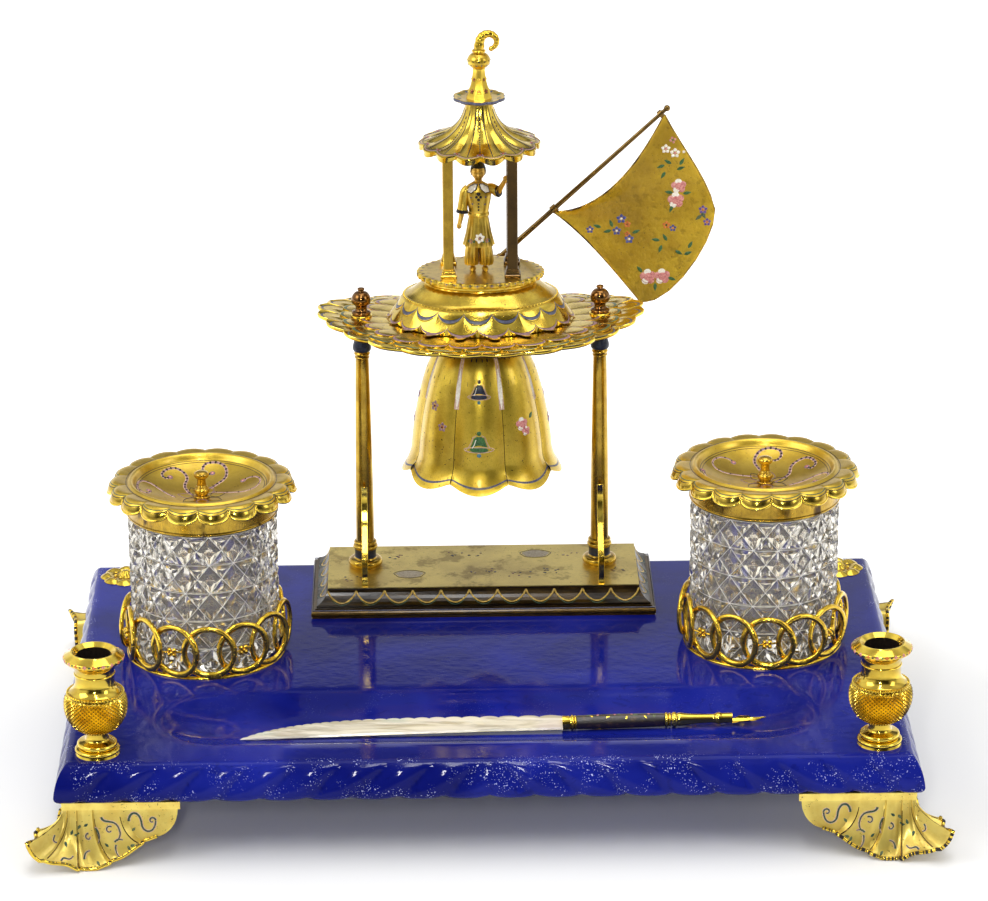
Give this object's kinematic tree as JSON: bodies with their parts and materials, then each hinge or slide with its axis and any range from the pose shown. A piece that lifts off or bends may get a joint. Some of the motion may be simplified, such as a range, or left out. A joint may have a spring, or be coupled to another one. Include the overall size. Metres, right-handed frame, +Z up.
{
  "type": "desk inkstand",
  "caption": "Desk inkstand with lidded cut-glass ink bottles in ring galleries, taper vases, a pen and a pagoda bell stand rung by a flag lever.",
  "frame": {"origin": "on the ground, under the middle of the tray", "axes": "+X to the right-hand end, +Y to the back where the bell stand is, +Z up"},
  "size_m": [0.372, 0.2424, 0.2949],
  "materials": {
    "lapis_glaze": "deep blue gloss glaze",
    "gilt": "bright gilt, lightly worn",
    "worn_gilt": "rubbed gilt with dark patina",
    "column_gilt": "satin gilt",
    "painted_gilt": "brushed gilt with small enamel painting",
    "copper_gilt": "reddish gilt",
    "dark_enamel": "dark blue-black enamel",
    "cut_glass": "clear cut crystal",
    "steel": "plain turned metal",
    "nacre": "polished mother-of-pearl",
    "horn": "dark mottled horn"
  },
  "bodies": {
    "base": {"tray": "lapis_glaze", "foot_front_left": "gilt", "foot_front_right": "gilt", "foot_back_left": "gilt", "foot_back_right": "gilt", "bolt_front_left": "steel", "bolt_front_right": "steel", "bolt_back_left": "steel", "bolt_back_right": "steel", "vase_left": "gilt", "vase_right": "gilt", "rosette_left": "gilt", "rosette_right": "gilt", "gallery_left": "gilt", "gallery_right": "gilt", "plinth_base": "worn_gilt", "plinth_top": "worn_gilt", "column_left": "column_gilt", "column_right": "column_gilt", "capital_left": "dark_enamel", "capital_right": "dark_enamel", "tie_rod_left": "steel", "tie_rod_right": "steel", "finial_left": "copper_gilt", "finial_right": "copper_gilt", "bracket_left": "column_gilt", "bracket_right": "column_gilt", "canopy": "painted_gilt", "dome": "painted_gilt", "platform": "painted_gilt", "post_front_left": "column_gilt", "post_front_right": "column_gilt", "post_back_left": "column_gilt", "post_back_right": "column_gilt", "figure": "painted_gilt", "pagoda_roof": "painted_gilt", "roof_disc": "painted_gilt", "spire": "painted_gilt", "crook": "painted_gilt", "bell": "painted_gilt", "bell_hanger": "steel", "flag_lug": "copper_gilt"},
    "bottle_left": {"bottle_left": "cut_glass", "collar_left": "gilt"},
    "bottle_right": {"bottle_right": "cut_glass", "collar_right": "gilt"},
    "lid_left": {"lid_left": "gilt", "knob_left": "gilt"},
    "lid_right": {"lid_right": "gilt", "knob_right": "gilt"},
    "flag_lever": {"flag_staff": "copper_gilt", "flag_sheet": "painted_gilt"},
    "pull_rod": {"pull_rod": "steel"},
    "clapper": {"clapper": "steel"},
    "pen": {"pen_blade": "nacre", "pen_grip": "horn", "pen_rings": "gilt", "pen_holder": "gilt", "pen_nib": "gilt"}
  },
  "joints": [
    {"name": "bottle_left_lift", "type": "slide", "parent": "base", "child": "bottle_left", "axis": [0, 0, 1], "range_m": [0, 0.1]},
    {"name": "bottle_right_lift", "type": "slide", "parent": "base", "child": "bottle_right", "axis": [0, 0, 1], "range_m": [0, 0.1]},
    {"name": "lid_left_lift", "type": "slide", "parent": "bottle_left", "child": "lid_left", "axis": [0, 0, 1], "range_m": [0, 0.06]},
    {"name": "lid_right_lift", "type": "slide", "parent": "bottle_right", "child": "lid_right", "axis": [0, 0, 1], "range_m": [0, 0.06]},
    {"name": "flag_swing", "type": "hinge", "parent": "base", "child": "flag_lever", "pos_m": [0.00656, 0.104, 0.1836], "axis": [0, 1, 0], "range_deg": [0, 13]},
    {"name": "rod_pull", "type": "slide", "parent": "base", "child": "pull_rod", "axis": [0, 0, 1], "range_m": [0, 0.00151]},
    {"name": "clapper_swing", "type": "hinge", "parent": "base", "child": "clapper", "pos_m": [0.00239, 0.0777, 0.1502], "axis": [0, 1, 0], "range_deg": [0, 34.83]},
    {"name": "pen_lift", "type": "slide", "parent": "base", "child": "pen", "axis": [0, 0, 1], "range_m": [0, 0.05]}
  ],
  "couplings": [
    {"joint": "rod_pull", "follows": "flag_swing", "m_per_rad": 0.006586},
    {"joint": "clapper_swing", "follows": "flag_swing", "ratio": 2.6752}
  ]
}
